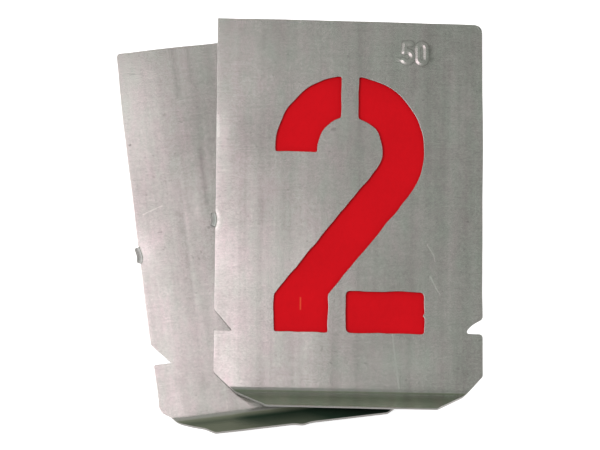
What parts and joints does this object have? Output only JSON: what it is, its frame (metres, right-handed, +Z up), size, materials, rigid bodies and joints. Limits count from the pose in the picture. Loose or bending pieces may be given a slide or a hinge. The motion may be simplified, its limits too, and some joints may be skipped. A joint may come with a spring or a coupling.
{
  "type": "lettering stencil",
  "caption": "Thin sheet-metal figure stencils for marking numbers, fanned over each other, with a cut-out figure, baseline notches and a bent-up grip lip, and a red card between them.",
  "frame": {"origin": "on the plane that the rear plate lies on, under the middle of the front plate's face", "axes": "+X to the right of the figure, +Y to the top of the figure, +Z up from the surface to the reader"},
  "size_m": [0.0711, 0.0817, 0.0062],
  "materials": {
    "plate_metal": "bare rolled sheet, satin, faintly streaked, with fine scratches",
    "red_card": "matt, dyed red"
  },
  "bodies": {
    "rear_stencil": {"rear_plate": "plate_metal"},
    "card": {"red_card": "red_card"},
    "front_stencil": {"front_plate": "plate_metal"}
  },
  "joints": [
    {"name": "card_lift", "type": "slide", "parent": "rear_stencil", "child": "card", "axis": [0, 0, 1], "range_m": [0, 0.03]},
    {"name": "front_plate_lift", "type": "slide", "parent": "card", "child": "front_stencil", "axis": [0, 0, 1], "range_m": [0, 0.03]}
  ]
}
